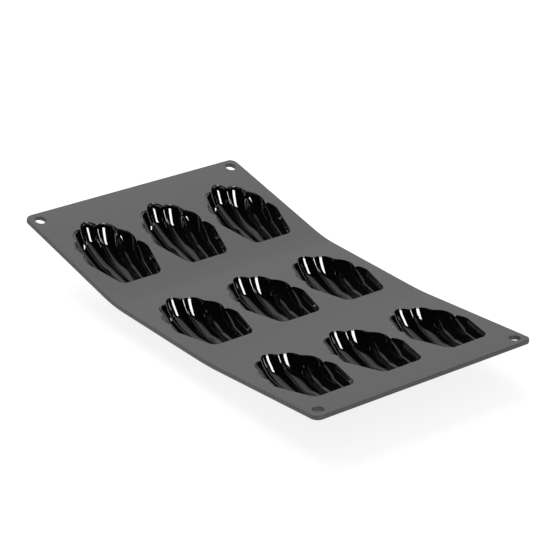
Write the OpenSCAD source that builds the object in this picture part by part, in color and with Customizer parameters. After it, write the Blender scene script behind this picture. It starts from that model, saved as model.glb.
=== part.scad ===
// Flexible sheet mould for nine madeleines: a flat deck with three rows of three shell cavities.
// The sheet lies on its middle row, and its two end rows curl up, bent at the two plain bands
// between the rows. +X runs from the raised end to the front, +Y across, and +Z up.
// The origin is below the middle of the sheet, on the surface it rests on. Units are millimetres.

/* [Deck] */
// Thickness of the flat deck
deck_t = 3; // [2:0.5:4.5]
// Radius of the four outer corners, seen from above
corner_r = 5; // [2:0.5:7]
// Deck between the outer rows and the sheet's two short edges
end_margin = 21.75; // [16:0.25:32]
// Deck between the outer cavities and the sheet's two long edges
side_margin = 9; // [6:0.5:20]

/* [Rows] */
// Plain deck between one row of cavities and the next
row_gap = 29; // [20:0.5:40]
// Deck between two cavities of one row, at their widest
column_gap = 6.4; // [5:0.2:16]
// Stiff deck kept beyond the cavities of a row, before the bend starts
bend_land = 4; // [3.5:0.5:6]

/* [Curl] */
// Upward bend between the middle row and the raised rear row, in degrees
rear_curl = 12; // [2:0.5:30]
// Upward bend between the middle row and the front row, in degrees
front_curl = 5; // [2:0.5:30]

/* [Cavity outline] */
// Width at the widest place, the two shoulders
cup_w = 48.2; // [42:0.2:56]
// Width of the straight end
flat_end_w = 31; // [24:0.5:36]
// Radius of the straight end's two corners
flat_end_r = 3.5; // [1:0.5:5]
// Distance from the straight end back to the shoulders
shoulder_back = 27; // [22:0.5:32]
// Distance from the straight end back to the notches behind the shoulders
waist_back = 35.7; // [33.5:0.1:40]
// Width between those two notches
waist_w = 40.8; // [38:0.2:42]
// Length of the half ellipse through the notches between the rear lobes
crown_l = 26.2; // [22:0.2:30]
// How far the side lobes swell beyond that ellipse
lobe_rise = 2.4; // [1:0.1:3]
// How far the lobe at the tip swells beyond it
tip_rise = 4.4; // [1:0.1:6]

/* [Cavity depth] */
// Depth of a cavity below the top of the deck
cup_depth = 17; // [12:0.5:24]
// Wall of the cups that hang below the deck
cup_wall = 1.8; // [1.4:0.1:3]
// How much deeper the steep lip below the rim takes every wall
lip_drop = 1.9; // [0.5:0.1:4]
// Distance from the rim over which the lip falls away
lip_run = 1.3; // [0.8:0.1:3]
// How much higher the floor starts, below the scalloped rim, than at its deepest
rear_rise = 10.5; // [4:0.5:11]
// How much higher the floor is at the straight end than at its deepest
fore_rise = 2.5; // [0:0.5:6]
// Height of the ridges between the flutes, at their tallest
ridge_h = 2.5; // [0.5:0.1:3.5]
// Depth over which the ridges grow to that height
ridge_grow = 5.8; // [2:0.2:8]
// How much the lowest flutes are cut flat below, so that the mould stands
foot_cut = 0.6; // [0.3:0.1:1.2]

/* [Hanging holes] */
// Diameter of the hole in each corner
hole_d = 7.5; // [4:0.5:9]
// Distance from a hole's centre to the short edge
hole_end = 7.7; // [7:0.1:10]
// Distance from a hole's centre to the long edge
hole_side = 7.9; // [7:0.1:10]

/* [Hidden] */

DECK_COLOUR = [0.42, 0.42, 0.42];
CUP_COLOUR = [0.08, 0.08, 0.09];

FLUTES = 7;          // a shoulder flute on each side and five lobes between them
LOBES = FLUTES - 2;
FLUTE_STEPS = 4;     // facets across one flute
RUN_STEPS = 12;      // facets along a flute, from the rear rim to the straight end
DEEPEST = 0.44;      // where the floor is deepest, as a share of the way to the straight end
REAR_SLOPE = 1.15;   // slopes of the walls below the lip
SIDE_SLOPE = 1;
FORE_SLOPE = 1.5;
RIDGES_BELOW = 0.4;  // share of the ridges' height that the cups' outer side follows
ARC_FN = 96;         // facets of the corners and holes
BEND_FN = 240;       // facets of a full turn of a bent web
ACROSS = FLUTES * FLUTE_STEPS;

cup_l = waist_back + crown_l + tip_rise;
sheet_w = 3 * cup_w + 2 * column_gap + 2 * side_margin;
column_pitch = cup_w + column_gap;
web_l = row_gap - 2 * bend_land;
deck_z = cup_depth + cup_wall;
neutral_z = -deck_t / 2;
cut = 1;             // how far a cutting body reaches past what it cuts

// Panels are drawn from the line of their cavities' straight ends, so these run back and forward of it.
panel_back = cup_l + bend_land;
panel_half = cup_l / 2 + bend_land;
outer_panel_l = cup_l + bend_land + end_margin;

// Each web is an arc about a line above the deck. Its radius is measured at half the deck's thickness.
rear_bend_r = web_l / (rear_curl * PI / 180);
front_bend_r = web_l / (front_curl * PI / 180);

// Reach of the two short edges from the middle of the middle row, and the shift that centres the sheet.
rear_reach = panel_half + outer_panel_l * cos(rear_curl) + (rear_bend_r + deck_t / 2) * sin(rear_curl);
front_reach = panel_half + outer_panel_l * cos(front_curl) + (front_bend_r + deck_t / 2) * sin(front_curl);
middle_x = (rear_reach - front_reach) / 2;

// Cavity outline

// Half width of the slanted side at x, where x is 0 at the straight end and negative behind it
function side_y(x) = flat_end_w / 2 + (cup_w - flat_end_w) / 2 * min(-x / shoulder_back, 1);

// A shoulder lobe, from the shoulder (f = 0) to the notch behind it (f = 1), on the +Y side
function shoulder_point(f) = [
    -shoulder_back - (waist_back - shoulder_back) * sin(90 * f),
    waist_w / 2 + (cup_w - waist_w) / 2 * cos(90 * f)
];

// One of the five rear lobes: k counts them from the -Y side, and f runs across the lobe
function lobe_point(k, f) =
    let (
        turn = -90 + 180 * (k + f) / LOBES,
        rise = (k == floor(LOBES / 2) ? tip_rise : lobe_rise) * sin(180 * f)
    )
    [-waist_back - (crown_l + rise) * cos(turn), (waist_w / 2 + rise) * sin(turn)];

// A point of the scalloped rim, where s counts the flutes from the -Y shoulder
function rim_point(s) =
    let (k = min(floor(s), FLUTES - 1), f = s - k)
    k == 0 ? [shoulder_point(f).x, -shoulder_point(f).y]
    : k == FLUTES - 1 ? shoulder_point(1 - f)
    : lobe_point(k - 1, f);

// Rounds the straight end's two corners: the corner square is drawn in to a quarter circle
function eased(p) =
    let (
        u = max(0, p.x + flat_end_r) / flat_end_r,
        v = max(0, abs(p.y) - (side_y(p.x) - flat_end_r)) / flat_end_r
    )
    [
        p.x - flat_end_r * u * (1 - sqrt(1 - v * v / 2)),
        sign(p.y) * (abs(p.y) - flat_end_r * v * (1 - sqrt(1 - u * u / 2)))
    ];

// Where a flute meets the straight end
function end_point(s) = [0, flat_end_w * (s / FLUTES - 0.5)];

// A point of the cavity seen from above, t = 0 on the scalloped rim and t = 1 on the straight end
function plan_point(s, t) = eased(rim_point(s) * (1 - t) + end_point(s) * t);

// The closed rim as grid indices: scalloped side, +Y side, straight end and -Y side
RIM = concat(
    [for (i = [0 : ACROSS - 1]) [i, 0]],
    [for (j = [0 : RUN_STEPS - 1]) [ACROSS, j]],
    [for (i = [ACROSS : -1 : 1]) [i, RUN_STEPS]],
    [for (j = [RUN_STEPS : -1 : 1]) [0, j]]
);

// Grid lines lie closer together near the two ends, where the wall is steep
function flute_at(i) = i / FLUTE_STEPS;
function run_at(j) = (1 - cos(180 * j / RUN_STEPS)) / 2;

// Cavity depth

// Depth of a wall at a distance from the rim, seen from above: a steep lip, then its slope
function wall(away, slope) = slope * away + lip_drop * (1 - exp(-away / lip_run));

// Cosine of the angle between a flute's line and the inward normal of the lobes' half ellipse
function squareness(s) =
    let (
        turn = min(max(-90 + 180 * (s - 1) / LOBES, -90), 90),
        base = [-waist_back - crown_l * cos(turn), waist_w / 2 * sin(turn)],
        inward = [waist_w / 2 * cos(turn), -crown_l * sin(turn)],
        line = end_point(s) - base
    )
    max(inward * line / (norm(inward) * norm(line)), 0.3);

// Depth of the floor: it falls away from the rear, rises a little to the straight end and rounds up sideways
function floor_depth(s, t) =
    let (
        rear = rear_rise * pow(max(1 - t / DEEPEST, 0), 1.5),
        fore = fore_rise * pow(max(t - DEEPEST, 0) / (1 - DEEPEST), 2)
    )
    (cup_depth - rear - fore) * sqrt(1 - 0.88 * pow(abs(2 * s / FLUTES - 1), 1.6));

// Height of the ridges above the flutes: full between two flutes and 0 along a flute's middle
function ridge(s, t, deep) =
    ridge_h * pow(1 - abs(sin(180 * s)), 3) * (1 - 0.4 * t) * (1 - exp(-deep / ridge_grow));

// Share of the full depth: the least of the three walls and the floor, less a share of the ridges
function depth_share(s, t, ridges) =
    let (
        p = plan_point(s, t),
        line = norm(rim_point(s) - end_point(s)),
        beside = max(min(side_y(p.x) - abs(p.y), cup_w * min(s, FLUTES - s)), 0),
        rear = wall(t * line * squareness(s), REAR_SLOPE),
        side = wall(beside, SIDE_SLOPE),
        fore = wall((1 - t) * line, FORE_SLOPE),
        deep = min(rear, side, fore, floor_depth(s, t))
    )
    max(0, deep - ridges * ridge(s, t, deep)) / cup_depth;

// A point of the shell. grow is 0 on the cavity side and the cup's wall on the outer side
function shell_point(i, j, grow) =
    let (
        s = flute_at(i),
        t = run_at(j),
        p = plan_point(s, t),
        mid_x = -cup_l / 2,
        wide = [1 + 2 * grow / cup_l, 1 + 2 * grow / cup_w],
        full = cup_depth - deck_t,
        share = depth_share(s, t, grow == 0 ? 1 : RIDGES_BELOW),
        down = grow == 0 ? full * share : min(full + grow, full * share + (grow + foot_cut) * pow(share, 0.4))
    )
    [mid_x + (p.x - mid_x) * wide.x, p.y * wide.y, -deck_t - down];

module cup_opening() {
    polygon([for (r = RIM) plan_point(flute_at(r[0]), run_at(r[1]))]);
}

module cup_shell() {
    row = ACROSS + 1;
    count = row * (RUN_STEPS + 1);
    inner = [for (j = [0 : RUN_STEPS]) for (i = [0 : ACROSS]) shell_point(i, j, 0)];
    outer = [for (j = [0 : RUN_STEPS]) for (i = [0 : ACROSS]) shell_point(i, j, cup_wall)];
    cells = [for (j = [0 : RUN_STEPS - 1]) for (i = [0 : ACROSS - 1]) j * row + i];
    edge = [for (r = RIM) r[1] * row + r[0]];
    n = len(edge);
    faces = concat(
        [for (a = cells) [a, a + 1, a + row + 1]],
        [for (a = cells) [a, a + row + 1, a + row]],
        [for (a = cells) [count + a, count + a + row + 1, count + a + 1]],
        [for (a = cells) [count + a, count + a + row, count + a + row + 1]],
        [for (k = [0 : n - 1]) [edge[k], count + edge[k], count + edge[(k + 1) % n]]],
        [for (k = [0 : n - 1]) [edge[k], count + edge[(k + 1) % n], edge[(k + 1) % n]]]
    );
    polyhedron(points = concat(inner, outer), faces = faces, convexity = 6);
}

// Deck panels and webs

// Every panel hangs in its own frame: x = 0 at the straight ends of its cavities, z = 0 on its top
module at_middle() {
    translate([middle_x + cup_l / 2, 0, deck_z]) children();
}

module at_rear() {
    bend = [middle_x - panel_half, 0, deck_z + neutral_z + rear_bend_r];
    flat = [middle_x - panel_half - bend_land, 0, deck_z];
    translate(bend) rotate([0, rear_curl, 0]) translate(flat - bend) children();
}

module at_front() {
    bend = [middle_x + panel_half, 0, deck_z + neutral_z + front_bend_r];
    flat = [middle_x + panel_half + panel_back, 0, deck_z];
    translate(bend) rotate([0, -front_curl, 0]) translate(flat - bend) children();
}

// column is -1, 0 or 1, from the -Y side to the +Y side
module at_column(column) {
    translate([0, column * column_pitch, 0]) children();
}

module hanging_hole(edge_x, side) {
    inward = edge_x > 0 ? -1 : 1;
    centre = [edge_x + inward * hole_end, side * (sheet_w / 2 - hole_side), -deck_t - cut];
    translate(centre) cylinder(d = hole_d, h = deck_t + 2 * cut, $fn = ARC_FN);
}

// Outline of a panel from x = low to x = high, with round corners at its outer edge, if it has one
module panel_outline(low, high, outer) {
    inner_low = outer < 0 ? low + corner_r : low;
    inner_high = outer > 0 ? high - corner_r : high;
    translate([inner_low, -sheet_w / 2]) square([inner_high - inner_low, sheet_w]);
    if (outer != 0) {
        edge = outer < 0 ? low : high;
        centre = edge - outer * corner_r;
        strip = [min(edge, centre), -sheet_w / 2 + corner_r];
        translate(strip) square([corner_r, sheet_w - 2 * corner_r]);
        for (side = [-1, 1])
            translate([centre, side * (sheet_w / 2 - corner_r)]) circle(r = corner_r, $fn = ARC_FN);
    }
}

// outer is -1 or 1 for the panel at the rear or front edge, and 0 for the middle one
module deck_panel(low, high, outer) {
    difference() {
        translate([0, 0, -deck_t]) linear_extrude(deck_t) difference() {
            panel_outline(low, high, outer);
            for (column = [-1, 0, 1])
                translate([0, column * column_pitch]) cup_opening();
        }
        if (outer != 0)
            for (side = [-1, 1]) hanging_hole(outer < 0 ? low : high, side);
    }
}

// A bent strip of the deck, from the end of the middle panel up to the end of the next one
module web(bend_r, curl) {
    rotate([90, 0, 0]) rotate([0, 0, -90]) rotate_extrude(angle = curl, $fn = BEND_FN)
        translate([bend_r + neutral_z, -sheet_w / 2]) square([deck_t, sheet_w]);
}

module rear_web() {
    centre = [middle_x - panel_half, 0, deck_z + neutral_z + rear_bend_r];
    color(DECK_COLOUR) translate(centre) mirror([1, 0, 0]) web(rear_bend_r, rear_curl);
}

module front_web() {
    centre = [middle_x + panel_half, 0, deck_z + neutral_z + front_bend_r];
    color(DECK_COLOUR) translate(centre) web(front_bend_r, front_curl);
}

module rear_deck() {
    color(DECK_COLOUR) at_rear() deck_panel(-cup_l - end_margin, bend_land, -1);
}

module middle_deck() {
    color(DECK_COLOUR) at_middle() deck_panel(-panel_back, bend_land, 0);
}

module front_deck() {
    color(DECK_COLOUR) at_front() deck_panel(-panel_back, end_margin, 1);
}

// Cups, named as seen from the front: left is -Y

module cup_rear_left() { color(CUP_COLOUR) at_rear() at_column(-1) cup_shell(); }
module cup_rear_centre() { color(CUP_COLOUR) at_rear() at_column(0) cup_shell(); }
module cup_rear_right() { color(CUP_COLOUR) at_rear() at_column(1) cup_shell(); }
module cup_middle_left() { color(CUP_COLOUR) at_middle() at_column(-1) cup_shell(); }
module cup_middle_centre() { color(CUP_COLOUR) at_middle() at_column(0) cup_shell(); }
module cup_middle_right() { color(CUP_COLOUR) at_middle() at_column(1) cup_shell(); }
module cup_front_left() { color(CUP_COLOUR) at_front() at_column(-1) cup_shell(); }
module cup_front_centre() { color(CUP_COLOUR) at_front() at_column(0) cup_shell(); }
module cup_front_right() { color(CUP_COLOUR) at_front() at_column(1) cup_shell(); }

rear_deck();
rear_web();
middle_deck();
front_web();
front_deck();
cup_rear_left();
cup_rear_centre();
cup_rear_right();
cup_middle_left();
cup_middle_centre();
cup_middle_right();
cup_front_left();
cup_front_centre();
cup_front_right();
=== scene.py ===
"""Scene for the flexible madeleine mould: one grey silicone sheet with nine glossy shell cavities.

The sheet is worked out flat and then bent. u runs along it, from the middle of its middle row towards
the front, v runs across it, and h is the height above the deck's top. Sizes are in millimetres, and
become metres when a mesh is made. The mould's sizes are the ones in the CAD source.
"""

import logging
import math
from dataclasses import dataclass, field
from enum import Enum

import bmesh
import bpy
import numpy as np
from mathutils import Matrix, Vector


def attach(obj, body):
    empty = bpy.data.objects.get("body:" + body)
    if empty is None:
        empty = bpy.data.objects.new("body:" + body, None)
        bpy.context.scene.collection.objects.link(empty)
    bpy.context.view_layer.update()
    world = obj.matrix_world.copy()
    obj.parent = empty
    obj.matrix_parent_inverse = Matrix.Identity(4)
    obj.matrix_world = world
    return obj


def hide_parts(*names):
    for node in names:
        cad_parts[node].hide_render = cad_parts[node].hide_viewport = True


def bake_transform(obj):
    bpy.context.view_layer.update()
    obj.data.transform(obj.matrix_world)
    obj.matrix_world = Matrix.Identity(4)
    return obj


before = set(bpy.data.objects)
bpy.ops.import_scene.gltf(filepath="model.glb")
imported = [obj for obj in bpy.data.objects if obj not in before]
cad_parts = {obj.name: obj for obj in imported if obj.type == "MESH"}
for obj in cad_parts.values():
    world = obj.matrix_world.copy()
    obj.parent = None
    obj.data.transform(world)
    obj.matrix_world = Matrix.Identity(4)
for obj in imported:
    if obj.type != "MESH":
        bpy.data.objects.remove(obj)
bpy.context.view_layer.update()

LOG = logging.getLogger("madeleine_mould")
MM = 0.001
TINY = 0.001
KEYS_PER_MM = 10_000
FLUTES = 7
LOBES = FLUTES - 2
SHARP_ANGLE = 50.0
GRAIN_HEIGHT = 0.00001


def as_points(*parts: object) -> np.ndarray:
    """Points from their coordinates, each an array or one number for all of them."""
    return np.stack(np.broadcast_arrays(*parts), axis=-1)


class Row(Enum):
    """The three rows of cavities, with each row's place along the sheet."""

    REAR = -1
    MIDDLE = 0
    FRONT = 1

    @property
    def body(self) -> str:
        """Name of the CAD body that the row belongs to."""
        return f"{self.name.lower()}_band"


class Column(Enum):
    """The three columns of cavities, as seen from the front."""

    LEFT = -1
    CENTRE = 0
    RIGHT = 1


@dataclass(frozen=True)
class Sizes:
    """Sizes of the mould, in millimetres and degrees, as in the CAD source."""

    deck_t: float = 3.0
    corner_r: float = 5.0
    end_margin: float = 21.75
    side_margin: float = 9.0
    row_gap: float = 29.0
    column_gap: float = 6.4
    bend_land: float = 4.0
    rear_curl: float = 12.0
    front_curl: float = 5.0
    cup_w: float = 48.2
    flat_end_w: float = 31.0
    flat_end_r: float = 3.5
    shoulder_back: float = 27.0
    waist_back: float = 35.7
    waist_w: float = 40.8
    crown_l: float = 26.2
    lobe_rise: float = 2.4
    tip_rise: float = 4.4
    cup_depth: float = 17.0
    cup_wall: float = 1.8
    lip_drop: float = 1.9
    lip_run: float = 1.3
    rear_rise: float = 10.5
    fore_rise: float = 2.5
    ridge_h: float = 2.5
    ridge_grow: float = 5.8
    foot_cut: float = 0.6
    hole_d: float = 7.5
    hole_end: float = 7.7
    hole_side: float = 7.9

    @property
    def cup_l(self) -> float:
        """Length of a cavity, from its straight end to the tip of its middle lobe."""
        return self.waist_back + self.crown_l + self.tip_rise

    @property
    def pitch(self) -> float:
        """Distance between two columns."""
        return self.cup_w + self.column_gap

    @property
    def half_w(self) -> float:
        """Half of the sheet's width."""
        return 1.5 * self.cup_w + self.column_gap + self.side_margin

    @property
    def cells_half(self) -> float:
        """Half of the width of the three cells around a row's cavities."""
        return 1.5 * self.pitch

    @property
    def web_l(self) -> float:
        """Length of a band that bends."""
        return self.row_gap - 2 * self.bend_land

    @property
    def panel_half(self) -> float:
        """Half of the length of the stiff middle panel."""
        return self.cup_l / 2 + self.bend_land

    @property
    def deck_z(self) -> float:
        """Height of the middle panel's top above the table."""
        return self.cup_depth + self.cup_wall

    def straight_end(self, row: Row) -> float:
        """Place along the flat sheet of a row's straight cavity ends."""
        return self.cup_l / 2 + row.value * (self.cup_l + self.row_gap)

    def reach(self, curl: float) -> float:
        """Reach of a curled short edge from the middle of the middle row.

        It is half of the middle panel, the band's arc along its underside, and the end panel along the
        arc's tangent.

        Args:
            curl: the band's bend in degrees.

        Returns:
            The reach along x in millimetres.
        """
        turn = math.radians(curl)
        panel = self.cup_l + self.bend_land + self.end_margin
        arc_radius = self.web_l / turn + self.deck_t / 2
        return self.panel_half + panel * math.cos(turn) + arc_radius * math.sin(turn)

    @property
    def middle_x(self) -> float:
        """Shift that centres the sheet on the frame's origin."""
        return (self.reach(self.rear_curl) - self.reach(self.front_curl)) / 2

    def bent(self, flat: np.ndarray) -> np.ndarray:
        """Carries points of the flat sheet to their place on the bent one.

        Each band is an arc about a line above the deck, whose radius r is measured at half the deck's
        thickness: a point at the height e above that middle goes to the distance (r - e) from the line,
        and past the band the sheet runs on along the arc's tangent.

        Args:
            flat: points (u, v, h) in millimetres, in the last axis.

        Returns:
            Points (x, y, z) in millimetres, in the last axis.
        """
        u, v, h = flat[..., 0], flat[..., 1], flat[..., 2]
        x = self.middle_x + np.clip(u, -self.panel_half, self.panel_half)
        z = self.deck_z + h
        for way, curl in ((-1, self.rear_curl), (1, self.front_curl)):
            beyond = np.maximum(way * u - self.panel_half, 0)
            turn = np.radians(curl) * np.minimum(beyond / self.web_l, 1)
            past = np.maximum(beyond - self.web_l, 0)
            arm = self.web_l / math.radians(curl) - self.deck_t / 2 - h
            x = x + way * (arm * np.sin(turn) + past * np.cos(turn))
            z = z + arm * (1 - np.cos(turn)) + past * np.sin(turn)
        return as_points(x, v, z)


@dataclass(frozen=True)
class CavityShape:
    """Outline and depth of one shell cavity.

    s counts the seven flutes from the -Y shoulder to the +Y shoulder, and t runs from the scalloped rim
    (0) to the straight end (1). x is 0 at the straight end and negative behind it. The slopes are
    depths per distance from the rim, and deepest is the t of the floor's lowest place.
    """

    sizes: Sizes
    notch_round: float = 0.07
    wall_round: float = 0.2
    rounded_at: float = 0.05
    round_samples: int = 6
    rear_slope: float = 1.15
    side_slope: float = 1.0
    fore_slope: float = 1.5
    least_squareness: float = 0.3
    deepest: float = 0.44
    rear_power: float = 1.5
    fore_power: float = 2.0
    side_share: float = 0.88
    side_power: float = 1.6
    blend_power: float = 40.0
    ridge_sharp: float = 3.5
    ridge_round: float = 0.3
    ridge_fade: float = 0.4
    ridges_below: float = 0.4

    def side_y(self, x: np.ndarray) -> np.ndarray:
        """Half width of the slanted side at x."""
        z = self.sizes
        return z.flat_end_w / 2 + (z.cup_w - z.flat_end_w) / 2 * np.minimum(-x / z.shoulder_back, 1)

    def straight(self, s: np.ndarray) -> np.ndarray:
        """Points (x, y) of the straight end, where the flutes' lines end."""
        return as_points(0.0, self.sizes.flat_end_w * (s / FLUTES - 0.5))

    def sharp_rim(self, s: np.ndarray) -> np.ndarray:
        """Scalloped rim with sharp notches.

        The two outer flutes end in quarter ellipses from shoulder to notch. The five lobes between them
        lie on a half ellipse, and each swells beyond it by its rise times the sine of 180 degrees times
        the way across the lobe.

        Args:
            s: flute positions from 0 to 7.

        Returns:
            Points (x, y), in the last axis.
        """
        z = self.sizes
        k = np.clip(np.floor(s), 0, FLUTES - 1)
        f = s - k
        g = np.where(k == 0, f, 1 - f) * np.pi / 2
        shoulder_x = -z.shoulder_back - (z.waist_back - z.shoulder_back) * np.sin(g)
        shoulder_y = z.waist_w / 2 + (z.cup_w - z.waist_w) / 2 * np.cos(g)
        turn = np.radians(-90 + 180 * (s - 1) / LOBES)
        rise = np.where(k == FLUTES // 2, z.tip_rise, z.lobe_rise) * np.sin(np.pi * f)
        lobe_x = -z.waist_back - (z.crown_l + rise) * np.cos(turn)
        lobe_y = (z.waist_w / 2 + rise) * np.sin(turn)
        outer = (k == 0) | (k == FLUTES - 1)
        x = np.where(outer, shoulder_x, lobe_x)
        y = np.where(outer, shoulder_y * np.where(k == 0, -1, 1), lobe_y)
        return as_points(x, y)

    def rim(self, s: np.ndarray, t: np.ndarray) -> np.ndarray:
        """Scalloped rim with rounded notches: the mean of the sharp rim over a stretch of s.

        The stretch to each side grows evenly, from notch_round on the rim to wall_round at rounded_at.

        Args:
            s: flute positions.
            t: shares of the way to the straight end.

        Returns:
            Points (x, y), in the last axis.
        """
        grown = np.minimum(t / self.rounded_at, 1)
        reach = self.notch_round + (self.wall_round - self.notch_round) * grown
        reach = np.minimum(reach, np.minimum(s, FLUTES - s))
        steps = np.linspace(-1, 1, self.round_samples)
        return np.mean([self.sharp_rim(s + step * reach) for step in steps], axis=0)

    def eased(self, p: np.ndarray) -> np.ndarray:
        """Draws the straight end's two corner squares in to quarter circles.

        A point that lies at the shares (u, v) of a corner's square moves in by u (1 - sqrt(1 - v^2 / 2))
        and v (1 - sqrt(1 - u^2 / 2)) of its side.

        Args:
            p: points (x, y), in the last axis.

        Returns:
            The moved points.
        """
        r = self.sizes.flat_end_r
        x, y = p[..., 0], p[..., 1]
        u = np.maximum(0, x + r) / r
        v = np.maximum(0, np.abs(y) - (self.side_y(x) - r)) / r
        new_x = x - r * u * (1 - np.sqrt(1 - v * v / 2))
        new_y = np.sign(y) * (np.abs(y) - r * v * (1 - np.sqrt(1 - u * u / 2)))
        return as_points(new_x, new_y)

    def plan(self, s: np.ndarray, t: np.ndarray, grow: float = 0.0) -> np.ndarray:
        """A point of the cavity seen from above.

        It lies on the straight line from the rim to the straight end, and grow swells the whole outline
        about the cavity's middle, by that many millimetres at its ends and sides.

        Args:
            s: flute positions.
            t: shares of the way to the straight end.
            grow: how far the outline is swollen.

        Returns:
            Points (x, y), in the last axis.
        """
        z = self.sizes
        flat = self.eased(self.rim(s, t) * (1 - t[..., None]) + self.straight(s) * t[..., None])
        middle = np.array([-z.cup_l / 2, 0])
        wide = np.array([1 + 2 * grow / z.cup_l, 1 + 2 * grow / z.cup_w])
        return middle + (flat - middle) * wide

    def ridge(self, s: np.ndarray) -> np.ndarray:
        """Height of the ridges between the flutes, rounded over on top.

        It is (1 - a)^ridge_sharp, where a is the sine of 180 degrees times s. The sine's sharp zero is
        rounded by ridge_round: sqrt(sine^2 + e^2) - e, scaled to reach 1.

        Args:
            s: flute positions.

        Returns:
            Shares of the full height: 1 on a ridge and 0 along a flute's middle.
        """
        e = self.ridge_round
        across = (np.sqrt(np.sin(np.pi * s) ** 2 + e * e) - e) / (math.sqrt(1 + e * e) - e)
        return np.clip(1 - across, 0, 1) ** self.ridge_sharp

    def squareness(self, s: np.ndarray) -> np.ndarray:
        """Cosine of the angle between a flute's line and the inward normal of the rim's half ellipse.

        Args:
            s: flute positions.

        Returns:
            Cosines, of which none is below least_squareness.
        """
        z = self.sizes
        turn = np.radians(np.clip(-90 + 180 * (s - 1) / LOBES, -90, 90))
        base = as_points(-z.waist_back - z.crown_l * np.cos(turn), z.waist_w / 2 * np.sin(turn))
        inward = as_points(z.waist_w / 2 * np.cos(turn), -z.crown_l * np.sin(turn))
        inward /= np.linalg.norm(inward, axis=-1, keepdims=True)
        line = self.straight(s) - base
        line /= np.linalg.norm(line, axis=-1, keepdims=True)
        return np.maximum(np.sum(inward * line, axis=-1), self.least_squareness)

    def wall(self, away: np.ndarray, slope: float) -> np.ndarray:
        """Depth of a wall at a distance from the rim: a steep lip, then its slope."""
        z = self.sizes
        return slope * away + z.lip_drop * (1 - np.exp(-away / z.lip_run))

    def floor(self, s: np.ndarray, t: np.ndarray) -> np.ndarray:
        """Depth of the floor.

        It falls by rear_rise to its deepest place, with the share of the way left to rear_power, and
        rises by fore_rise from there to the straight end, with the share of that way to fore_power.
        That is multiplied by sqrt(1 - side_share a^side_power), a the share of the way to a side.

        Args:
            s: flute positions.
            t: shares of the way to the straight end.

        Returns:
            Depths in millimetres, positive downwards.
        """
        z = self.sizes
        rear = z.rear_rise * np.maximum(1 - t / self.deepest, 0) ** self.rear_power
        fore = z.fore_rise * (np.maximum(t - self.deepest, 0) / (1 - self.deepest)) ** self.fore_power
        across = np.abs(2 * s / FLUTES - 1) ** self.side_power
        return (z.cup_depth - rear - fore) * np.sqrt(1 - self.side_share * across)

    def depth(self, s: np.ndarray, t: np.ndarray, ridges: float = 1.0) -> np.ndarray:
        """Depth of the cavity below the deck's top.

        Three walls fall away from the rim, from the sides and from the straight end. The depth is the
        soft least of them and the floor, (sum of d^-p)^(-1/p) with p the blend_power, less the ridges,
        which grow with the depth and fade towards the straight end.

        Args:
            s: flute positions.
            t: shares of the way to the straight end.
            ridges: share of the ridges' height that is taken off.

        Returns:
            Depths in millimetres, positive downwards.
        """
        z = self.sizes
        line = np.linalg.norm(self.rim(s, t) - self.straight(s), axis=-1)
        p = self.plan(s, t)
        beside = np.maximum(self.side_y(p[..., 0]) - np.abs(p[..., 1]), 0)
        beside = np.minimum(beside, z.cup_w * np.minimum(s, FLUTES - s))
        walls = [
            self.wall(t * line * self.squareness(s), self.rear_slope),
            self.wall(beside, self.side_slope),
            self.wall((1 - t) * line, self.fore_slope),
            self.floor(s, t),
        ]
        power = self.blend_power
        least = sum((np.maximum(w, TINY) / z.cup_depth) ** -power for w in walls) ** (-1 / power)
        plain = np.maximum(least * z.cup_depth - TINY, 0)
        grown = (1 - self.ridge_fade * t) * (1 - np.exp(-plain / z.ridge_grow))
        return plain - ridges * z.ridge_h * self.ridge(s) * grown


def set_inputs(node: bpy.types.Node, **values: object) -> None:
    """Sets a node's inputs, whose names are written with _ for each space."""
    for name, value in values.items():
        node.inputs[name.replace("_", " ")].default_value = value


def new_object(name: str, data: bpy.types.ID) -> bpy.types.Object:
    """Makes an object of the data and links it to the scene.

    Args:
        name: the object's name.
        data: its mesh, light or camera.

    Returns:
        The new object.
    """
    made = bpy.data.objects.new(name, data)
    bpy.context.scene.collection.objects.link(made)
    return made


class Group:
    """A shader node group that puts out masks and heights, built once and used by several materials."""

    def __init__(self, name: str, inputs: dict[str, float], outputs: tuple[str, ...]) -> None:
        """Makes an empty group with float sockets.

        Args:
            name: the group's name.
            inputs: names and defaults of its inputs. A Vector input is always there.
            outputs: names of its outputs.
        """
        self.tree = bpy.data.node_groups.new(name, "ShaderNodeTree")
        self.tree.interface.new_socket("Vector", in_out="INPUT", socket_type="NodeSocketVector")
        for label, value in inputs.items():
            socket = self.tree.interface.new_socket(label, in_out="INPUT", socket_type="NodeSocketFloat")
            socket.default_value = value
        for label in outputs:
            self.tree.interface.new_socket(label, in_out="OUTPUT", socket_type="NodeSocketFloat")
        self.into = self.tree.nodes.new("NodeGroupInput")
        self.out = self.tree.nodes.new("NodeGroupOutput")

    def noise(self, scale: float, detail: float, roughness: float) -> bpy.types.NodeSocket:
        """Adds a noise texture on the group's Vector.

        Args:
            scale: waves per metre.
            detail: octaves of finer noise.
            roughness: share that each finer octave keeps.

        Returns:
            The socket of its value, from 0 to 1.
        """
        node = self.tree.nodes.new("ShaderNodeTexNoise")
        set_inputs(node, Scale=scale, Detail=detail, Roughness=roughness)
        self.tree.links.new(self.into.outputs["Vector"], node.inputs["Vector"])
        return node.outputs["Fac"]

    def math(self, operation: str, *values: object) -> bpy.types.NodeSocket:
        """Adds a Math node whose values are sockets or numbers, and returns its result."""
        return add_math(self.tree, operation, *values)


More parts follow.
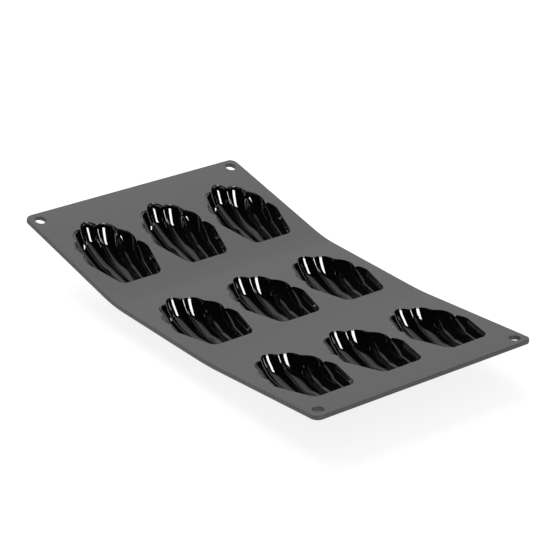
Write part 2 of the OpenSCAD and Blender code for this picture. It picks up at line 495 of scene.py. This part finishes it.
def add_math(tree: bpy.types.NodeTree, operation: str, *values: object) -> bpy.types.NodeSocket:
    """Adds a Math node.

    Args:
        tree: the node tree to add it to.
        operation: Blender's name of the operation.
        values: its inputs, as sockets or numbers.

    Returns:
        The node's output socket.
    """
    node = tree.nodes.new("ShaderNodeMath")
    node.operation = operation
    for socket, value in zip(node.inputs, values):
        if isinstance(value, bpy.types.NodeSocket):
            tree.links.new(value, socket)
        else:
            socket.default_value = value
    return node.outputs[0]


def moulded_grain() -> bpy.types.NodeTree:
    """The fine, even grain of a moulded silicone face, and its faint clouds.

    Returns:
        A group with the outputs Height, from 0 to 2, and Cloud, about 0.
    """
    group = Group("moulded_grain", {"Grain": 1.0, "Cloud": 1.0}, ("Height", "Cloud"))
    fine = group.noise(scale=4200.0, detail=2.0, roughness=0.6)
    pores = group.noise(scale=1500.0, detail=3.0, roughness=0.5)
    height = group.math("MULTIPLY", group.math("ADD", fine, pores), group.into.outputs["Grain"])
    wide = group.noise(scale=22.0, detail=3.0, roughness=0.55)
    cloud = group.math("MULTIPLY", group.math("SUBTRACT", wide, 0.5), group.into.outputs["Cloud"])
    group.tree.links.new(height, group.out.inputs["Height"])
    group.tree.links.new(cloud, group.out.inputs["Cloud"])
    return group.tree


@dataclass(frozen=True)
class Silicone:
    """A face of the silicone: its colour, gloss and grain."""

    name: str
    colour: tuple[float, float, float]
    roughness: float
    grain: float
    cloud: float
    roughness_cloud: float
    specular: float = 0.5
    ior: float = 1.45
    coat: float = 0.0
    coat_roughness: float = 0.03
    coat_ior: float = 1.5
    pattern: str | None = None

    def material(self, grain_group: bpy.types.NodeTree) -> bpy.types.Material:
        """Makes the material.

        The colour is the silicone's, times one plus the cloud, and the roughness varies with the same
        cloud. The grain goes to a bump. pattern names the attribute that holds the flat sheet's
        coordinates, and without it the object's own coordinates are used.

        Args:
            grain_group: the shared group for grain and clouds.

        Returns:
            The new material.
        """
        made = bpy.data.materials.new(self.name)
        made.use_nodes = True
        tree = made.node_tree
        shader = tree.nodes["Principled BSDF"]
        set_inputs(shader, Specular_IOR_Level=self.specular, IOR=self.ior, Coat_Weight=self.coat,
                   Coat_Roughness=self.coat_roughness, Coat_IOR=self.coat_ior)
        if self.pattern:
            place = tree.nodes.new("ShaderNodeAttribute")
            place.attribute_name = self.pattern
            vector = place.outputs["Vector"]
        else:
            place = tree.nodes.new("ShaderNodeTexCoord")
            vector = place.outputs["Object"]
        effect = tree.nodes.new("ShaderNodeGroup")
        effect.node_tree = grain_group
        set_inputs(effect, Grain=self.grain, Cloud=self.cloud)
        tree.links.new(vector, effect.inputs["Vector"])
        mix = tree.nodes.new("ShaderNodeMix")
        mix.data_type = "RGBA"
        mix.blend_type = "MULTIPLY"
        set_inputs(mix, Factor=1.0, A=(*self.colour, 1.0))
        cloud = effect.outputs["Cloud"]
        tone = add_math(tree, "ADD", cloud, 1.0)
        tree.links.new(tone, mix.inputs["B"])
        tree.links.new(mix.outputs["Result"], shader.inputs["Base Color"])
        rough = add_math(tree, "MULTIPLY_ADD", cloud, self.roughness_cloud, self.roughness)
        tree.links.new(rough, shader.inputs["Roughness"])
        bump = tree.nodes.new("ShaderNodeBump")
        set_inputs(bump, Strength=1.0, Distance=GRAIN_HEIGHT)
        tree.links.new(effect.outputs["Height"], bump.inputs["Height"])
        tree.links.new(bump.outputs["Normal"], shader.inputs["Normal"])
        return made


DECK = Silicone("deck_silicone", (0.09, 0.09, 0.09), roughness=0.55, grain=1.0, cloud=0.06,
                roughness_cloud=0.5, pattern="flat_sheet")
CAVITY = Silicone("cavity_silicone", (0.003, 0.003, 0.003), roughness=0.06, grain=0.0, cloud=0.1,
                  roughness_cloud=0.1, coat=1.0, coat_ior=1.7)
SHELL = Silicone("shell_silicone", (0.03, 0.03, 0.031), roughness=0.5, grain=1.2, cloud=0.1,
                 roughness_cloud=0.4)


def on_top(flat: np.ndarray) -> np.ndarray:
    """Points (u, v) as points (u, v, 0) of the deck's top."""
    return np.concatenate([flat, np.zeros((*flat.shape[:-1], 1))], axis=-1)


def rings(inner: np.ndarray, outer: np.ndarray, shares: tuple[float, ...]) -> np.ndarray:
    """Loops on the deck's top between an inner and an outer one, each point on a straight line.

    Args:
        inner: loop of points (u, v).
        outer: loop of as many points.
        shares: shares of the way from the inner to the outer loop.

    Returns:
        A grid of points (u, v, 0), with a row for each share.
    """
    share = np.array(shares)[:, None, None]
    return on_top(inner * (1 - share) + outer * share)


def crowded(way: np.ndarray, share: float) -> np.ndarray:
    """Draws values towards the whole numbers: x less the share times sin(2 pi x) / (2 pi)."""
    return way - share * np.sin(2 * np.pi * way) / (2 * np.pi)


class Patchwork:
    """Grids of points on the flat sheet, joined into one closed surface."""

    def __init__(self) -> None:
        """Starts with no grids."""
        self.points: list[np.ndarray] = []
        self.faces: list[np.ndarray] = []
        self.marks: list[np.ndarray] = []
        self.count = 0

    def add(self, grid: np.ndarray, mark: int = 0, closed: bool = False) -> None:
        """Adds a grid of quads.

        Args:
            grid: rows of points (u, v, h), as an array of the shape (rows, columns, 3).
            mark: material index of its faces.
            closed: whether the last column is joined to the first.
        """
        rows, columns = grid.shape[:2]
        index = np.arange(rows * columns).reshape(rows, columns)
        if closed:
            index = np.concatenate([index, index[:, :1]], axis=1)
        quads = np.stack([index[:-1, :-1], index[:-1, 1:], index[1:, 1:], index[1:, :-1]], axis=-1)
        self.points.append(grid.reshape(-1, 3))
        self.faces.append(quads.reshape(-1, 4) + self.count)
        self.marks.append(np.full(quads.shape[0] * quads.shape[1], mark))
        self.count += rows * columns

    def both_faces(self, grid: np.ndarray, thickness: float, closed: bool = False) -> None:
        """Adds a grid on the deck's top, and its copy on the underside, turned round.

        Args:
            grid: rows of points (u, v, h) on the top.
            thickness: the deck's thickness.
            closed: whether the last column is joined to the first.
        """
        self.add(grid, closed=closed)
        under = grid[:, ::-1].copy()
        under[..., 2] -= thickness
        self.add(under, closed=closed)

    def welded(self) -> tuple[np.ndarray, np.ndarray, np.ndarray]:
        """Joins points that lie within 0.1 micrometre, and drops faces that have shrunk to nothing.

        Returns:
            The points, the faces as quads (a triangle repeats a corner) and the faces' material indices.
        """
        points = np.concatenate(self.points)
        faces = np.concatenate(self.faces)
        marks = np.concatenate(self.marks)
        keys = np.round(points * KEYS_PER_MM).astype(np.int64)
        _, first, same = np.unique(keys, axis=0, return_index=True, return_inverse=True)
        faces = same.reshape(-1)[faces]
        ordered = np.sort(faces, axis=1)
        corners = 1 + np.count_nonzero(np.diff(ordered, axis=1), axis=1)
        return points[first], faces[corners >= 3], marks[corners >= 3]


def mesh_object(name: str, points: np.ndarray, faces: np.ndarray, marks: np.ndarray,
                materials: list[bpy.types.Material]) -> bpy.types.Object:
    """Makes a smooth mesh object at the origin, with its faces pointing outwards.

    Args:
        name: the piece's name.
        points: points in millimetres.
        faces: quads, in which a triangle repeats a corner.
        marks: material index of each face.
        materials: the piece's materials.

    Returns:
        The new object, linked to the scene.
    """
    keep = faces != np.roll(faces, -1, axis=1)
    sizes = keep.sum(axis=1)
    mesh = bpy.data.meshes.new(name)
    mesh.vertices.add(len(points))
    mesh.vertices.foreach_set("co", (points * MM).astype(np.float32).ravel())
    mesh.loops.add(int(sizes.sum()))
    mesh.loops.foreach_set("vertex_index", faces[keep].astype(np.int32))
    mesh.polygons.add(len(faces))
    mesh.polygons.foreach_set("loop_start", np.concatenate([[0], np.cumsum(sizes)[:-1]]).astype(np.int32))
    mesh.polygons.foreach_set("material_index", marks.astype(np.int32))
    mesh.polygons.foreach_set("use_smooth", np.ones(len(faces), bool))
    mesh.update(calc_edges=True)
    mesh.validate()
    for material in materials:
        mesh.materials.append(material)
    work = bmesh.new()
    work.from_mesh(mesh)
    bmesh.ops.recalc_face_normals(work, faces=work.faces)
    work.to_mesh(mesh)
    work.free()
    mesh.set_sharp_from_angle(angle=math.radians(SHARP_ANGLE))
    return new_object(name, mesh)


@dataclass(frozen=True)
class Cup:
    """One cup: the glossy cavity with its rounded rim, and the matt shell that hangs below the deck."""

    sizes: Sizes
    shape: CavityShape
    row: Row
    column: Column
    rim_round: float = 0.5
    wall_power: float = 0.4
    flute_steps: int = 18
    run_steps: int = 84
    round_steps: int = 5
    ridge_crowd: float = 0.55
    end_crowd: float = 0.72

    @property
    def name(self) -> str:
        """Name of the CAD node that the cup stands for."""
        return f"cup_{self.row.name.lower()}_{self.column.name.lower()}"

    def lines(self) -> tuple[np.ndarray, np.ndarray]:
        """Grid lines: closer together at the ridges, and near the rim and the straight end.

        Returns:
            s and t, as two grids of the shape (run_steps + 1, 7 * flute_steps + 1).
        """
        s = crowded(np.linspace(0, FLUTES, FLUTES * self.flute_steps + 1), self.ridge_crowd)
        t = crowded(np.linspace(0, 1, self.run_steps + 1), self.end_crowd)
        return np.meshgrid(s, t)

    def surface(self, grow: float, heights: np.ndarray) -> np.ndarray:
        """Points of the cup's grid at the given heights, with the outline swollen by grow."""
        s, t = self.lines()
        return np.concatenate([self.shape.plan(s, t, grow), heights[..., None]], axis=-1)

    def edge(self, grid: np.ndarray) -> np.ndarray:
        """The closed border of a grid: scalloped side, +Y side, straight end and -Y side."""
        return np.concatenate([grid[0, :-1], grid[:-1, -1], grid[-1, :0:-1], grid[:0:-1, 0]])

    def build(self, materials: list[bpy.types.Material]) -> bpy.types.Object:
        """Builds the cup and lets it ride on its row.

        The cavity hangs below the rim's rounding by its depth. The shell has the outline of the CAD
        cup. It lies below the cavity by the wall, which grows with the depth to wall_power, follows
        the ridges by a share, and is cut flat where it stands.

        Args:
            materials: those of the cavity and of the shell.

        Returns:
            The cup.
        """
        z = self.sizes
        s, t = self.lines()
        share = self.shape.depth(s, t) / z.cup_depth
        below = self.shape.depth(s, t, self.shape.ridges_below) / z.cup_depth
        full = z.cup_depth - z.deck_t
        wall = (z.cup_wall + z.foot_cut) * below ** self.wall_power
        outside = np.minimum(full + z.cup_wall, full * below + wall)
        r = self.rim_round
        inner = self.surface(0.0, -(r + (z.cup_depth - r) * share))
        outer = self.surface(z.cup_wall, -(z.deck_t + outside))
        border = self.edge(inner)
        swell = [self.edge(self.surface(g, np.zeros_like(s))) for g in (r, z.cup_wall)]
        turn = np.linspace(0, np.pi / 2, self.round_steps + 1)[:-1, None, None]
        rounding = border + (swell[0] - border) * np.array([1, 1, 0]) * (1 - np.sin(turn))
        rounding[..., 2] = -r * (1 - np.cos(turn[..., 0]))
        collar = np.stack([swell[0], swell[0], self.edge(outer)])
        collar[1:, :, 2] = -z.deck_t
        work = Patchwork()
        work.add(inner[:, ::-1])
        work.add(outer, 1)
        work.add(np.concatenate([rounding, border[None]]), closed=True)
        work.add(collar[::-1], 1, closed=True)
        points, faces, marks = work.welded()
        points[:, 0] += z.straight_end(self.row)
        points[:, 1] += self.column.value * z.pitch
        cup = mesh_object(self.name + "_dressed", z.bent(points), faces, marks, materials)
        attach(cup, self.row.body)
        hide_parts(self.name)
        LOG.info("%s: %d faces", cup.name, len(cup.data.polygons))
        return cup


@dataclass(frozen=True)
class SheetPart:
    """A part of the grey sheet: the middle panel, or an end panel with the band that bends."""

    sizes: Sizes
    shape: CavityShape
    row: Row
    rim_round: float = 0.5
    edge_round: float = 0.6
    hole_round: float = 0.35
    inset: float = 1.2
    flat_line: float = 0.8
    corner_flute: float = 1.5
    foot_from: float = 0.72
    foot_steps: int = 8
    lobe_steps: int = 18
    side_steps: int = 36
    web_steps: int = 24
    strip_steps: int = 6
    margin_steps: int = 2
    round_steps: int = 5
    hole_steps: int = 4
    corner_steps: int = 10
    block_lines: int = 14
    cell_rings: tuple[float, ...] = (0, 0.12, 0.5, 1.0)
    hole_rings: tuple[float, ...] = (0, 0.06, 0.5, 1.0)

    def opening(self) -> np.ndarray:
        """Outline of a cavity's opening in the deck, where the rim's rounding starts.

        The points go evenly from stop to stop, each a pair (s, t). The cell's rear corners face the
        flutes corner_flute from the shoulders, and its front corners face t = foot_from on the sides.

        Returns:
            A closed loop of points (x, y) from the rear corner at -Y: along the rear, +Y, front and -Y
            sides of the cell around it.
        """
        near, far, foot = self.corner_flute, FLUTES - self.corner_flute, self.foot_from
        stops = [(near, 0), (far, 0), (FLUTES, 0), (FLUTES, foot), (FLUTES, 1),
                 (0, 1), (0, foot), (0, 0), (near, 0)]
        rear = 4 * self.lobe_steps
        shoulder = 2 * self.side_steps // 3
        run = self.side_steps - shoulder
        counts = [rear, shoulder, run, self.foot_steps, rear - 2 * self.foot_steps,
                  self.foot_steps, run, shoulder]
        legs = [np.linspace(start, end, count, endpoint=False)
                for start, end, count in zip(stops[:-1], stops[1:], counts)]
        path = np.concatenate(legs)
        return self.shape.plan(path[:, 0], path[:, 1], self.rim_round)

    def cell(self) -> np.ndarray:
        """Loop of the rectangular cell around a cavity, with as many points as its opening.

        Returns:
            Points (x, y) in the opening's order.
        """
        z = self.sizes
        low, high, half = -z.cup_l - z.bend_land, z.bend_land, z.pitch / 2
        along = np.linspace(low, high, self.side_steps + 1)
        across = np.linspace(-half, half, 4 * self.lobe_steps + 1)
        return np.concatenate([as_points(low, across[:-1]), as_points(along[:-1], half),
                               as_points(high, across[:0:-1]), as_points(along[:0:-1], -half)])

    def across(self) -> np.ndarray:
        """Lines across the whole sheet, between the insets of its two long edges.

        Returns:
            Their places v, from the -Y side.
        """
        z = self.sizes
        cells = np.linspace(-z.cells_half, z.cells_half, len(Column) * 4 * self.lobe_steps + 1)
        margin = np.linspace(z.cells_half, z.half_w - self.inset, self.margin_steps + 1)[1:]
        return np.concatenate([-margin[::-1], cells, margin])

    def profile(self) -> np.ndarray:
        """Section of the sheet's edge, from its top round to its underside.

        Returns:
            Points (way out from the inset line, height above the deck's top).
        """
        r = self.edge_round
        turn = np.linspace(0, np.pi / 2, self.round_steps + 1)
        top = as_points(self.inset - r + r * np.sin(turn), -r * (1 - np.cos(turn)))
        start = np.array([[0.0, 0.0], [(self.inset - r) * self.flat_line, 0.0]])
        return self.mirrored(np.concatenate([start, top]))

    def mirrored(self, upper: np.ndarray) -> np.ndarray:
        """A section (way, height) of the deck's upper edge, followed by its mirror image below."""
        lower = upper[::-1] * np.array([1, -1]) - np.array([0, self.sizes.deck_t])
        return np.concatenate([upper, lower])

    def flat(self, u: np.ndarray, v: np.ndarray) -> np.ndarray:
        """Grid of points on the deck's top for lines along u and lines along v."""
        return as_points(u[:, None], v, 0.0)

    def border(self, path: np.ndarray, out: np.ndarray) -> np.ndarray:
        """Carries the edge's section along a path.

        Args:
            path: points (u, v) of the inset line.
            out: unit directions (u, v) out of the sheet.

        Returns:
            A grid with a column for each point of the section.
        """
        section = self.profile()
        flat = path[:, None, :] + out[:, None, :] * section[None, :, :1]
        height = np.broadcast_to(section[None, :, 1:], (*flat.shape[:2], 1))
        return np.concatenate([flat, height], axis=-1)

    def build(self, material: bpy.types.Material) -> bpy.types.Object:
        """Builds the part of the sheet, bends it, and lets the middle part ride on its row.

        Args:
            material: the deck's material.

        Returns:
            The part of the sheet.
        """
        z = self.sizes
        work = Patchwork()
        start = z.straight_end(self.row)
        way = self.row.value
        cell_u = np.linspace(start - z.cup_l - z.bend_land, start + z.bend_land, self.side_steps + 1)
        edge_v = z.half_w - self.inset
        self.add_cells(work, start)
        margin = np.linspace(z.cells_half, edge_v, self.margin_steps + 1)
        work.both_faces(self.flat(cell_u, margin), z.deck_t)
        work.both_faces(self.flat(cell_u, -margin), z.deck_t)
        sides = cell_u
        if way:
            web = z.panel_half * way + way * np.linspace(0, z.web_l, self.web_steps + 1)
            work.both_faces(self.flat(web, self.across()), z.deck_t)
            sides = np.union1d(np.round(web, 9), np.round(cell_u, 9))
            self.add_end(work, way)
        for side in (-1, 1):
            line = as_points(sides, side * edge_v)
            work.add(self.border(line, np.broadcast_to([0.0, side], line.shape)))
        caps = [way * z.panel_half] if way else [cell_u[0], cell_u[-1]]
        for u in caps:
            self.add_cap(work, u)
        points, faces, marks = work.welded()
        name = f"{self.row.name.lower()}_sheet"
        sheet = mesh_object(name, z.bent(points), faces, marks, [material])
        spot = sheet.data.attributes.new("flat_sheet", "FLOAT_VECTOR", "POINT")
        spot.data.foreach_set("vector", (points * MM).astype(np.float32).ravel())
        self.follow(sheet)
        LOG.info("%s: %d faces", sheet.name, len(sheet.data.polygons))
        return sheet

    def add_cells(self, work: Patchwork, start: float) -> None:
        """Adds the deck around the three openings: quads from each opening out to its cell.

        Args:
            work: the patchwork to add to.
            start: place of the row's straight ends along the flat sheet.
        """
        z = self.sizes
        around = rings(self.opening(), self.cell(), self.cell_rings)
        for column in Column:
            grid = around + np.array([start, column.value * z.pitch, 0])
            work.both_faces(grid, z.deck_t, closed=True)
            wall = np.stack([grid[0], grid[0] - np.array([0, 0, z.deck_t])])
            work.add(wall, closed=True)

    def add_cap(self, work: Patchwork, u: float) -> None:
        """Closes the sheet where it meets the next part: a grid across it, down its thickness.

        Args:
            work: the patchwork to add to.
            u: place of the joint along the flat sheet.
        """
        section = self.profile()
        edge = self.sizes.half_w - self.inset
        height = np.array([[0.0], [-self.sizes.deck_t]])
        work.add(as_points(u, self.across(), height))
        half = len(section) // 2
        for side in (-1, 1):
            pair = np.stack([section[:half], section[half:][::-1]])
            work.add(as_points(u, side * (edge + pair[..., 0]), pair[..., 1]))

    def add_end(self, work: Patchwork, way: int) -> None:
        """Adds the end panel beyond the cells, with its two holes and its rounded corners.

        Args:
            work: the patchwork to add to.
            way: -1 at the rear and 1 at the front.
        """
        z = self.sizes
        inner = way * (z.panel_half + z.web_l + 2 * z.bend_land + z.cup_l)
        tip = inner + way * (z.end_margin - z.bend_land)
        edge_u = tip - way * self.inset
        along = np.linspace(inner, edge_u, self.strip_steps + 1)
        lines = self.across()
        first = self.block_lines + self.margin_steps
        middle = lines[first:len(lines) - first]
        work.both_faces(self.flat(along, middle), z.deck_t)
        front = as_points(edge_u, middle)
        work.add(self.border(front, np.broadcast_to([float(way), 0.0], front.shape)))
        for side in (-1, 1):
            block = side * np.abs(lines[:first + 1][::-1])
            centre = np.array([tip - way * z.hole_end, side * (z.half_w - z.hole_side)])
            loop = self.add_corner(work, along, block)
            self.add_hole(work, loop, centre)

    def add_corner(self, work: Patchwork, along: np.ndarray, block: np.ndarray) -> np.ndarray:
        """Adds the edge around a corner of the sheet: a straight, a quarter circle and a straight.

        Args:
            work: the patchwork to add to.
            along: lines along u, from the cells to the end's inset line.
            block: lines along v, from the middle of the end to the side's inset line.

        Returns:
            The closed loop of points (u, v) around the corner's part of the deck.
        """
        inner, edge_u, edge_v = along[0], along[-1], block[-1]
        way, side = np.sign(edge_u), np.sign(edge_v)
        bend = self.sizes.corner_r - self.inset
        turn = np.linspace(0, np.pi / 2, self.corner_steps + 1)[::-1]
        knee = np.array([edge_u - way * bend, edge_v - side * bend])
        arc_out = as_points(way * np.sin(turn), side * np.cos(turn))
        short_edge = as_points(edge_u, np.linspace(block[0], knee[1], len(block))[:-1])
        long_edge = as_points(np.linspace(knee[0], inner, self.strip_steps + 1)[1:], edge_v)
        outline = np.concatenate([short_edge, knee + bend * arc_out, long_edge])
        out = np.concatenate([np.broadcast_to([way, 0.0], short_edge.shape), arc_out,
                              np.broadcast_to([0.0, side], long_edge.shape)])
        work.add(self.border(outline, out))
        near = as_points(inner, block[-2::-1])
        inward = as_points(along[1:-1], block[0])
        return np.concatenate([outline, near, inward])

    def add_hole(self, work: Patchwork, loop: np.ndarray, centre: np.ndarray) -> None:
        """Adds a corner hole with rounded edges, and the deck out to the loop around it.

        Args:
            work: the patchwork to add to.
            loop: closed loop of points (u, v) around the hole.
            centre: the hole's centre.
        """
        z = self.sizes
        away = loop - centre
        way = away / np.linalg.norm(away, axis=1, keepdims=True)
        r, soft = z.hole_d / 2, self.hole_round
        work.both_faces(rings(centre + way * (r + soft), loop, self.hole_rings), z.deck_t, closed=True)
        turn = np.linspace(0, np.pi / 2, self.hole_steps + 1)
        section = self.mirrored(as_points(soft * (1 - np.sin(turn)), -soft * (1 - np.cos(turn))))
        wall = centre + way[None] * (r + section[:, :1])[:, None]
        height = np.broadcast_to(section[:, None, 1:], (*wall.shape[:2], 1))
        work.add(np.concatenate([wall, height], axis=-1), closed=True)

    def follow(self, sheet: bpy.types.Object) -> None:
        """Lets the middle panel ride on its row. An end panel has its placement baked into its mesh, and
        its CAD deck and web are hidden.

        Args:
            sheet: the part of the sheet.
        """
        z = self.sizes
        way, name = self.row.value, self.row.name.lower()
        if way:
            ends = np.array([[way * z.panel_half, 0, -z.deck_t / 2],
                             [way * (z.panel_half + z.web_l), 0, -z.deck_t / 2]])
            start, end = (Vector(p * MM) for p in z.bent(ends))
            Row.MIDDLE.body
            self.row.body
            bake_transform(sheet)
            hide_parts(f"{name}_deck", f"{name}_web")
        else:
            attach(sheet, self.row.body)
            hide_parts(f"{name}_deck")


@dataclass
class Mould:
    """The whole mould: three parts of the sheet and nine cups."""

    sizes: Sizes = field(default_factory=Sizes)

    def build(self) -> list[bpy.types.Object]:
        """Builds and dresses every piece.

        Returns:
            The three parts of the sheet and the nine cups.
        """
        shape = CavityShape(self.sizes)
        grain = moulded_grain()
        deck, cavity, shell = (finish.material(grain) for finish in (DECK, CAVITY, SHELL))
        pieces = [SheetPart(self.sizes, shape, row).build(deck) for row in Row]
        for row in Row:
            for column in Column:
                pieces.append(Cup(self.sizes, shape, row, column).build([cavity, shell]))
        return pieces


@dataclass(frozen=True)
class Lamp:
    """A rectangular softbox that faces the origin. Its angles are in degrees, azimuth 0 is +X.

    A mirrored one shows in reflections alone, and the others give diffuse light alone.
    """

    name: str
    azimuth: float
    elevation: float
    roll: float
    distance: float
    width: float
    height: float
    radiance: float
    mirrored: bool

    def build(self) -> bpy.types.Object:
        """Makes the lamp. Its power is radiance times area times pi.

        Returns:
            The lamp.
        """
        data = bpy.data.lights.new(self.name, "AREA")
        data.shape = "RECTANGLE"
        data.size = self.width
        data.size_y = self.height
        data.energy = self.radiance * self.width * self.height * math.pi
        lamp = new_object(self.name, data)
        azimuth, elevation = math.radians(self.azimuth), math.radians(self.elevation)
        way = Vector((math.cos(azimuth), math.sin(azimuth), math.tan(elevation))).normalized()
        facing = way.to_track_quat("Z", "Y").to_matrix().to_4x4()
        roll = Matrix.Rotation(math.radians(self.roll), 4, "Z")
        lamp.matrix_world = Matrix.Translation(way * self.distance) @ facing @ roll
        lamp.visible_glossy = self.mirrored
        lamp.visible_diffuse = not self.mirrored
        return lamp


@dataclass(frozen=True)
class Studio:
    """The pale floor, the plain white surroundings, the softboxes and the camera.

    backdrop_edge holds the cosines, from backdrop_way, between which the mirrored backdrop fades in.
    floor_tone is the floor's own tone, and floor_seen and floor_lift are its tone and its glow for the
    camera and in reflections.
    """

    fill: float = 0.45
    mirrored_backdrop: float = 0.42
    backdrop_way: tuple[float, float, float] = (-0.50, 0.70, 0.50)
    backdrop_edge: tuple[float, float] = (0.55, 0.75)
    floor_half: float = 6.0
    floor_tone: float = 0.85
    floor_seen: float = 0.23
    floor_lift: float = 0.86
    lamps: tuple[Lamp, ...] = (
        Lamp("key_softbox", azimuth=-4.9, elevation=40.4, roll=-13.0, distance=1.4,
             width=0.60, height=1.01, radiance=10.5, mirrored=True),
        Lamp("top_softbox", azimuth=165.0, elevation=42.0, roll=0.0, distance=1.3,
             width=1.2, height=1.2, radiance=6.0, mirrored=False),
    )
    camera_at: tuple[float, float, float] = (1.06508, -0.91855, 0.72010)
    camera_right: tuple[float, float, float] = (0.63661, 0.76952, 0.05064)
    camera_up: tuple[float, float, float] = (-0.36838, 0.24576, 0.89660)
    camera_lens: float = 158.141
    camera_sensor: float = 36.0
    camera_clip: tuple[float, float] = (0.05, 50.0)

    def build(self) -> None:
        """Builds all of the studio."""
        self.build_world()
        self.build_floor()
        for lamp in self.lamps:
            lamp.build()
        self.build_camera()
        bpy.context.scene.view_settings.view_transform = "Standard"

    def build_world(self) -> None:
        """White for the camera, a soft-edged backdrop in reflections, and an even fill for the rest."""
        world = bpy.data.worlds.new("studio")
        world.use_nodes = True
        bpy.context.scene.world = world
        tree = world.node_tree
        rays = tree.nodes.new("ShaderNodeLightPath")
        place = tree.nodes.new("ShaderNodeTexCoord")
        facing = tree.nodes.new("ShaderNodeVectorMath")
        facing.operation = "DOT_PRODUCT"
        facing.inputs[1].default_value = Vector(self.backdrop_way).normalized()
        tree.links.new(place.outputs["Generated"], facing.inputs[0])
        ramp = tree.nodes.new("ShaderNodeMapRange")
        ramp.interpolation_type = "SMOOTHSTEP"
        set_inputs(ramp, From_Min=self.backdrop_edge[0], From_Max=self.backdrop_edge[1])
        tree.links.new(facing.outputs["Value"], ramp.inputs["Value"])
        glossy, through = rays.outputs["Is Glossy Ray"], rays.outputs["Is Transmission Ray"]
        mirrored = add_math(tree, "MAXIMUM", glossy, through)
        plain = add_math(tree, "SUBTRACT", 1.0, mirrored)
        fill = add_math(tree, "MULTIPLY", plain, self.fill)
        shown = add_math(tree, "MULTIPLY", ramp.outputs["Result"], self.mirrored_backdrop)
        lit = add_math(tree, "MULTIPLY_ADD", mirrored, shown, fill)
        strength = add_math(tree, "MAXIMUM", lit, rays.outputs["Is Camera Ray"])
        back = tree.nodes["Background"]
        set_inputs(back, Color=(1, 1, 1, 1))
        tree.links.new(strength, back.inputs["Strength"])

    def build_floor(self) -> None:
        """A wide white floor at the table's height, which keeps the mould's shadow."""
        mesh = bpy.data.meshes.new("floor")
        half = self.floor_half
        corners = [(-half, -half, 0), (half, -half, 0), (half, half, 0), (-half, half, 0)]
        mesh.from_pydata(corners, [], [(0, 1, 2, 3)])
        floor = new_object("floor", mesh)
        paint = bpy.data.materials.new("floor_white")
        paint.use_nodes = True
        tree = paint.node_tree
        shader = tree.nodes["Principled BSDF"]
        set_inputs(shader, Roughness=0.9, Specular_IOR_Level=0.0, Emission_Color=(1, 1, 1, 1))
        rays = tree.nodes.new("ShaderNodeLightPath")
        seen = add_math(tree, "MAXIMUM", rays.outputs["Is Camera Ray"], rays.outputs["Is Glossy Ray"])
        lift = add_math(tree, "MULTIPLY", seen, self.floor_lift)
        tone = add_math(tree, "MULTIPLY_ADD", seen, self.floor_seen - self.floor_tone, self.floor_tone)
        tree.links.new(tone, shader.inputs["Base Color"])
        tree.links.new(lift, shader.inputs["Emission Strength"])
        mesh.materials.append(paint)

    def build_camera(self) -> None:
        """The camera, from its place and its right and up directions."""
        data = bpy.data.cameras.new("camera")
        data.sensor_width = self.camera_sensor
        data.lens = self.camera_lens
        data.clip_start, data.clip_end = self.camera_clip
        camera = new_object("camera", data)
        right = Vector(self.camera_right).normalized()
        up = (Vector(self.camera_up) - right * right.dot(Vector(self.camera_up))).normalized()
        back = right.cross(up)
        turn = Matrix((right, up, back)).transposed().to_4x4()
        camera.matrix_world = Matrix.Translation(self.camera_at) @ turn
        bpy.context.scene.camera = camera


def main() -> None:
    """Builds the mould and the studio, and reports each piece."""
    logging.basicConfig(level=logging.INFO, format="%(name)s %(message)s")
    pieces = Mould().build()
    Studio().build()
    bpy.context.view_layer.update()
    LOG.info("%d pieces", len(pieces))


if __name__ == "__main__":
    main()
